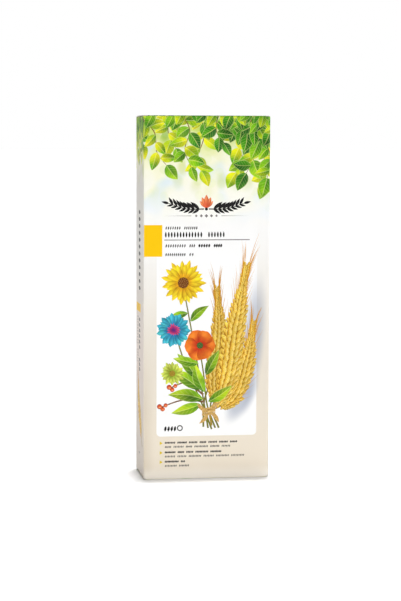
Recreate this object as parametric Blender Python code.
"""A printed folding carton that holds eight dried foxtail millet sprays.

The carton is one blank of folding boxboard: a sleeve of four panels with a glued seam, a glued bottom of four
flaps, and a top of two dust flaps and a lid that ends in a tuck tongue. The sprays stand in it side by side,
turn about, tip up and stem up. Metres, +Z up, front panel facing -Y, origin at the middle of the foot.
"""

import math
import random

import bmesh
import bpy
from mathutils import Matrix

# The carton's outside and its board
HEIGHT = 0.300
WIDTH = 0.105
DEPTH = 0.052
BOARD = 0.0005
GAP = 0.0003
FOLD_RADIUS = 0.0010
FOLD_STEPS = 3
SEAM_RADIUS = 0.0002
GLUE_FLAP_WIDTH = 0.015

# One layer of board and the gap above or below it
LAYER = BOARD + GAP

# Where the walls end, below the folds of the flaps at the top and above those at the foot
FRONT_TOP = HEIGHT - 0.0006
BACK_TOP = HEIGHT - LAYER
SIDE_TOP = HEIGHT - 2 * LAYER
FRONT_FOOT = LAYER
BACK_FOOT = 2 * LAYER
SIDE_FOOT = 3 * LAYER
CORNER_LENGTH = 0.0015

# Lid, tongue and dust flaps at the top
LID_SIDE_CLEARANCE = 0.0006
LID_CORNER = 0.0008
TONGUE_WALL_GAP = 0.0006
TONGUE_LENGTH = 0.014
TONGUE_SIDE_CLEARANCE = 0.0030
TONGUE_CORNER = 0.007
TONGUE_LEAN = math.radians(12)
DUST_LENGTH = 0.036
DUST_HALF_ROOT = 0.0228
DUST_FRONT_TAPER = math.radians(9)
DUST_CORNER = 0.003

# How far the dust flaps rise for each degree that the lid opens, and their room behind the rising lid
DUST_FOLLOWS_LID = 0.5
DUST_LID_ROOM = 0.0008

# Flaps of the glued bottom
FOOT_SIDE_CLEARANCE = 0.0006
FOOT_FAR_CLEARANCE = 0.0008
FOOT_INNER_LENGTH = 0.036
FOOT_DUST_LENGTH = 0.042
FOOT_CORNER = 0.0012

# The sprays: four across and two deep
COLUMNS = 4
ROWS = 2
SPRAY_STAND = 0.0024
STEM_RADIUS = 0.0016
STEM_LENGTH = 0.034
HEAD_LENGTH = 0.226
HEAD_RADIUS = 0.0119
TIP_RADIUS = 0.0052
LOBE_DEPTH = 0.0014
SPRAY_SWAY = 0.0007
SPRAY_SIDES = 12
STEM_RINGS = 4
HEAD_RINGS = 36
SPRAY_SEED = 7

BOARD_PRINT = ((0.90, 0.86, 0.79), 0.42)
BOARD_BACK = ((0.66, 0.63, 0.58), 0.85)
MILLET_GOLD = ((0.72, 0.47, 0.12), 0.80)


def clear_scene():
    for old in list(bpy.data.objects):
        bpy.data.objects.remove(old, do_unlink=True)


def new_collection(name):
    collection = bpy.data.collections.new(name)
    bpy.context.scene.collection.children.link(collection)
    return collection


def finish(name, colour, roughness):
    """A plain dielectric material."""
    material = bpy.data.materials.new(name)
    material.use_nodes = True
    shader = material.node_tree.nodes["Principled BSDF"]
    shader.inputs["Base Color"].default_value = (*colour, 1.0)
    shader.inputs["Roughness"].default_value = roughness
    shader.inputs["Metallic"].default_value = 0.0
    return material


def arc(centre, radius, start, end, steps):
    """Points of an arc, both ends included, with angles in radians."""
    angles = [start + (end - start) * i / steps for i in range(steps + 1)]
    return [(centre[0] + radius * math.cos(a), centre[1] + radius * math.sin(a)) for a in angles]


def rounded_outline(corners, steps=4):
    """The closed outline of (x, y, radius) corners, counter-clockwise, each corner cut to an arc of its radius."""
    points = []
    for i, (x, y, radius) in enumerate(corners):
        before = corners[i - 1]
        after = corners[(i + 1) % len(corners)]
        if radius <= 0:
            points.append((x, y))
            continue
        into = (before[0] - x, before[1] - y)
        out = (after[0] - x, after[1] - y)
        into = tuple(c / math.hypot(*into) for c in into)
        out = tuple(c / math.hypot(*out) for c in out)
        half = math.acos(into[0] * out[0] + into[1] * out[1]) / 2
        reach = radius / math.tan(half)
        middle = (into[0] + out[0], into[1] + out[1])
        away = radius / math.sin(half) / math.hypot(*middle)
        centre = (x + middle[0] * away, y + middle[1] * away)
        first = math.atan2(y + into[1] * reach - centre[1], x + into[0] * reach - centre[0])
        turn = math.pi - 2 * half
        points += arc(centre, radius, first, first + turn, steps)
    return points


def plate(name, outlines, thickness, material, collection):
    """A flat plate in its own XY plane, centred on it, from one outer outline and any holes."""
    curve = bpy.data.curves.new(name + "_outline", "CURVE")
    curve.dimensions = "2D"
    curve.fill_mode = "BOTH"
    curve.extrude = thickness / 2
    for outline in outlines:
        spline = curve.splines.new("POLY")
        spline.points.add(len(outline) - 1)
        for point, (x, y) in zip(spline.points, outline):
            point.co = (x, y, 0, 1)
        spline.use_cyclic_u = True
    drawn = bpy.data.objects.new(name + "_outline", curve)
    collection.objects.link(drawn)
    bpy.context.view_layer.update()
    graph = bpy.context.evaluated_depsgraph_get()
    mesh = bpy.data.meshes.new_from_object(drawn.evaluated_get(graph))
    bpy.data.objects.remove(drawn, do_unlink=True)
    mesh.name = name
    work = bmesh.new()
    work.from_mesh(mesh)
    bmesh.ops.remove_doubles(work, verts=work.verts, dist=1e-7)
    bmesh.ops.recalc_face_normals(work, faces=work.faces)
    work.to_mesh(mesh)
    work.free()
    made = bpy.data.objects.new(name, mesh)
    mesh.materials.clear()
    mesh.materials.append(material)
    collection.objects.link(made)
    return made


def round_the_root(flap):
    """Rounds the two long edges along the flap's root, so that it turns in place about its own X axis."""
    work = bmesh.new()
    work.from_mesh(flap.data)
    root = min(v.co.y for v in work.verts)
    edges = [
        e
        for e in work.edges
        if all(abs(v.co.y - root) < BOARD / 10 for v in e.verts)
        and abs(e.verts[0].co.x - e.verts[1].co.x) > BOARD
    ]
    bmesh.ops.bevel(
        work,
        geom=edges,
        offset=BOARD * 0.48,
        offset_type="OFFSET",
        segments=FOLD_STEPS,
        profile=0.5,
        affect="EDGES",
        clamp_overlap=True,
    )
    work.to_mesh(flap.data)
    work.free()
    return flap


def board_flap(name, outline, hinge, turn, material, collection):
    """A flap of board with a rounded root. Its own X axis is the crease and it reaches along its own +Y.

    hinge is the crease's middle, and turn the rotation that lays the flap in place.
    """
    flap = round_the_root(plate(name, [outline], BOARD, material, collection))
    flap.matrix_world = Matrix.Translation(hinge) @ turn
    return flap


def sleeve_outline():
    """The sleeve's cross-section: its outside, and its inside with the glue flap doubling the right wall."""
    half_w, half_d = WIDTH / 2, DEPTH / 2
    outside = rounded_outline(
        [
            (-half_w, -half_d, FOLD_RADIUS),
            (half_w, -half_d, FOLD_RADIUS),
            (half_w, half_d, SEAM_RADIUS),
            (-half_w, half_d, FOLD_RADIUS),
        ],
        FOLD_STEPS,
    )
    in_w, in_d = half_w - BOARD, half_d - BOARD
    inner_radius = FOLD_RADIUS - BOARD
    inside = rounded_outline(
        [
            (-in_w, -in_d, inner_radius),
            (in_w, -in_d, inner_radius),
            (in_w, in_d - GLUE_FLAP_WIDTH, 0),
            (in_w - BOARD, in_d - GLUE_FLAP_WIDTH - BOARD, 0),
            (in_w - BOARD, in_d, inner_radius),
            (-in_w, in_d, inner_radius),
        ],
        FOLD_STEPS,
    )
    return [outside, inside]


def cutter_box(name, low, high, collection):
    """A box between two corners, used only to cut."""
    bpy.ops.mesh.primitive_cube_add(size=1.0)
    box = bpy.context.active_object
    box.name = name
    size = [b - a for a, b in zip(low, high)]
    middle = [(a + b) / 2 for a, b in zip(low, high)]
    box.data.transform(Matrix.Translation(middle) @ Matrix.Diagonal((*size, 1.0)))
    for owner in list(box.users_collection):
        owner.objects.unlink(box)
    collection.objects.link(box)
    box.hide_render = True
    box.display_type = "WIRE"
    return box


def add_sleeve(material, collection, cutters):
    """The four panels and the glue flap, with each panel's ends cut back to the fold of its own flap."""
    sleeve = plate("sleeve", sleeve_outline(), FRONT_TOP - FRONT_FOOT, material, collection)
    sleeve.location.z = (FRONT_TOP + FRONT_FOOT) / 2
    past = 0.01
    reach_x = WIDTH / 2 - CORNER_LENGTH
    reach_y = DEPTH / 2 - CORNER_LENGTH
    cuts = {
        "back_top": ((-reach_x, 0, BACK_TOP), (reach_x, DEPTH, HEIGHT + past)),
        "back_foot": ((-reach_x, 0, -past), (reach_x, DEPTH, BACK_FOOT)),
        "side_top": ((-WIDTH, -reach_y, SIDE_TOP), (WIDTH, reach_y, HEIGHT + past)),
        "side_foot": ((-WIDTH, -reach_y, -past), (WIDTH, reach_y, SIDE_FOOT)),
    }
    for name, (low, high) in cuts.items():
        cut = sleeve.modifiers.new(name, "BOOLEAN")
        cut.operation = "DIFFERENCE"
        cut.solver = "EXACT"
        cut.object = cutter_box("cut_" + name, low, high, cutters)
    return sleeve


def add_lid(material, collection):
    """The lid, hinged on the back panel, and its tongue, tucked behind the front panel."""
    hinge_y = DEPTH / 2 - BOARD / 2
    crease_y = -(DEPTH / 2 - BOARD - TONGUE_WALL_GAP - BOARD / 2)
    level = HEIGHT - BOARD / 2
    half_w = WIDTH / 2 - LID_SIDE_CLEARANCE
    root_half = WIDTH / 2 - CORNER_LENGTH - GAP
    reach = hinge_y - crease_y - BOARD / 2 - GAP
    shoulder = 2 * CORNER_LENGTH
    lid_outline = rounded_outline(
        [
            (-root_half, -BOARD / 2, 0),
            (root_half, -BOARD / 2, 0),
            (half_w, shoulder, 0),
            (half_w, reach, LID_CORNER),
            (-half_w, reach, LID_CORNER),
            (-half_w, shoulder, 0),
        ]
    )
    over = Matrix.Rotation(math.pi, 4, "Z")
    board_flap("lid", lid_outline, (0, hinge_y, level), over, material, collection)

    tongue_half = WIDTH / 2 - BOARD - TONGUE_SIDE_CLEARANCE
    tongue_outline = rounded_outline(
        [
            (-tongue_half, -BOARD / 2, 0),
            (tongue_half, -BOARD / 2, 0),
            (tongue_half, TONGUE_LENGTH, TONGUE_CORNER),
            (-tongue_half, TONGUE_LENGTH, TONGUE_CORNER),
        ],
        6,
    )
    down = Matrix.Rotation(-math.pi / 2 + TONGUE_LEAN, 4, "X")
    board_flap("tuck_tongue", tongue_outline, (0, crease_y, level), down, material, collection)


def add_dust_flaps(material, collection):
    """The two flaps under the lid. Each is cut back towards the lid's hinge, so that it can rise with the lid."""
    tip_front = DUST_HALF_ROOT - DUST_LENGTH * math.tan(DUST_FRONT_TAPER)
    tip_back = DEPTH / 2 - BOARD / 2 - DUST_FOLLOWS_LID * DUST_LENGTH - DUST_LID_ROOM
    level = HEIGHT - LAYER - BOARD / 2
    for side, name in ((-1, "dust_flap_left"), (1, "dust_flap_right")):
        # Seen along its own axes, the front of the left flap lies at +X and that of the right flap at -X
        front = -side
        corners = [
            (-front * DUST_HALF_ROOT, -BOARD / 2, 0),
            (front * DUST_HALF_ROOT, -BOARD / 2, 0),
            (front * tip_front, DUST_LENGTH, DUST_CORNER),
            (-front * tip_back, DUST_LENGTH, DUST_CORNER),
        ]
        outline = rounded_outline(corners if front > 0 else corners[::-1])
        turn = Matrix.Rotation(side * math.pi / 2, 4, "Z")
        hinge = (side * (WIDTH / 2 - BOARD / 2), 0, level)
        board_flap(name, outline, hinge, turn, material, collection)


def add_bottom(material, collection):
    """The glued bottom: the outer flap folds from the front panel, and the inner one from the back panel."""
    root_half = WIDTH / 2 - CORNER_LENGTH - GAP
    wide_half = WIDTH / 2 - FOOT_SIDE_CLEARANCE
    shoulder = 2 * CORNER_LENGTH
    outer_reach = DEPTH - BOARD / 2 - FOOT_FAR_CLEARANCE

    def foot_outline(reach):
        return rounded_outline(
            [
                (-root_half, -BOARD / 2, 0),
                (root_half, -BOARD / 2, 0),
                (wide_half, shoulder, 0),
                (wide_half, reach, FOOT_CORNER),
                (-wide_half, reach, FOOT_CORNER),
                (-wide_half, shoulder, 0),
            ]
        )

    front_hinge = (0, -(DEPTH / 2 - BOARD / 2), BOARD / 2)
    back_hinge = (0, DEPTH / 2 - BOARD / 2, LAYER + BOARD / 2)
    inward = Matrix.Identity(4)
    outward = Matrix.Rotation(math.pi, 4, "Z")
    board_flap("bottom_outer_flap", foot_outline(outer_reach), front_hinge, inward, material, collection)
    board_flap("bottom_inner_flap", foot_outline(FOOT_INNER_LENGTH), back_hinge, outward, material, collection)

    dust_outline = rounded_outline(
        [
            (-DUST_HALF_ROOT, -BOARD / 2, 0),
            (DUST_HALF_ROOT, -BOARD / 2, 0),
            (DUST_HALF_ROOT, FOOT_DUST_LENGTH, DUST_CORNER),
            (-DUST_HALF_ROOT, FOOT_DUST_LENGTH, DUST_CORNER),
        ]
    )
    for side, name in ((-1, "bottom_dust_flap_left"), (1, "bottom_dust_flap_right")):
        hinge = (side * (WIDTH / 2 - BOARD / 2), 0, 2 * LAYER + BOARD / 2)
        turn = Matrix.Rotation(side * math.pi / 2, 4, "Z")
        board_flap(name, dust_outline, hinge, turn, material, collection)


def spray_profile(ring):
    """(distance from the cut end, radius, lobe depth) of one ring of a spray, counted from the cut end."""
    if ring <= STEM_RINGS:
        return STEM_LENGTH * max(0, ring - 1) / (STEM_RINGS - 1), STEM_RADIUS, 0.0
    along = (ring - STEM_RINGS) / HEAD_RINGS
    swell = min(1.0, along / 0.10) ** 0.5
    taper = 1 - (1 - TIP_RADIUS / HEAD_RADIUS) * along**1.6
    end = min(1.0, (1 - along) / 0.05) ** 0.5
    radius = max(STEM_RADIUS, HEAD_RADIUS * swell * taper * end)
    depth = LOBE_DEPTH * (1 - 0.55 * along) * swell * end
    return STEM_LENGTH + HEAD_LENGTH * along, radius, depth


def add_spray(name, x, y, foot, tip_up, draw, material, collection):
    """One spray: a stem and a head whose clusters stand out as lobes, on every other point of its grid."""
    rings = STEM_RINGS + HEAD_RINGS
    work = bmesh.new()
    bmesh.ops.create_uvsphere(work, u_segments=SPRAY_SIDES, v_segments=rings, radius=1.0)
    phase = draw.uniform(0, 2 * math.pi)
    length = STEM_LENGTH + HEAD_LENGTH
    for vert in work.verts:
        ring = round((1 - math.acos(max(-1.0, min(1.0, vert.co.z))) / math.pi) * rings)
        around = math.atan2(vert.co.y, vert.co.x)
        side = round(around / (2 * math.pi) * SPRAY_SIDES) % SPRAY_SIDES
        distance, radius, depth = spray_profile(ring)
        lobe = depth * draw.uniform(0.75, 1.0) * (1 if (ring + side) % 2 else -1)
        reach = 0.0 if ring in (0, rings) else radius + lobe - depth
        sway = SPRAY_SWAY * math.sin(math.pi * distance / length)
        vert.co.x = reach * math.cos(around) + sway * math.cos(phase)
        vert.co.y = reach * math.sin(around) + sway * math.sin(phase)
        vert.co.z = distance
    bmesh.ops.recalc_face_normals(work, faces=work.faces)
    mesh = bpy.data.meshes.new(name)
    work.to_mesh(mesh)
    work.free()
    mesh.materials.append(material)
    mesh.shade_smooth()
    made = bpy.data.objects.new(name, mesh)
    collection.objects.link(made)
    if tip_up:
        made.location = (x, y, foot)
    else:
        made.location = (x, y, foot + length)
        made.rotation_euler = (math.pi, 0, 0)
    return made


def add_sprays(material, collection):
    """Eight sprays in two rows, turned about like a chequerboard, that stand on the bottom's dust flaps."""
    draw = random.Random(SPRAY_SEED)
    pitch_x = (WIDTH - 3 * BOARD) / COLUMNS
    pitch_y = (DEPTH - 2 * BOARD) / ROWS
    for row in range(ROWS):
        for column in range(COLUMNS):
            number = row * COLUMNS + column + 1
            x = (column - (COLUMNS - 1) / 2) * pitch_x - BOARD / 2
            y = (row - (ROWS - 1) / 2) * pitch_y
            tip_up = (row + column) % 2 == 0
            add_spray(f"millet_spray_{number}", x, y, SPRAY_STAND, tip_up, draw, material, collection)


def main():
    clear_scene()
    carton = new_collection("millet_spray_carton")
    cutters = new_collection("cutters")
    printed = finish("printed_board", *BOARD_PRINT)
    plain = finish("board_back", *BOARD_BACK)
    gold = finish("millet", *MILLET_GOLD)
    add_sleeve(printed, carton, cutters)
    add_lid(printed, carton)
    add_dust_flaps(plain, carton)
    add_bottom(printed, carton)
    add_sprays(gold, carton)


main()
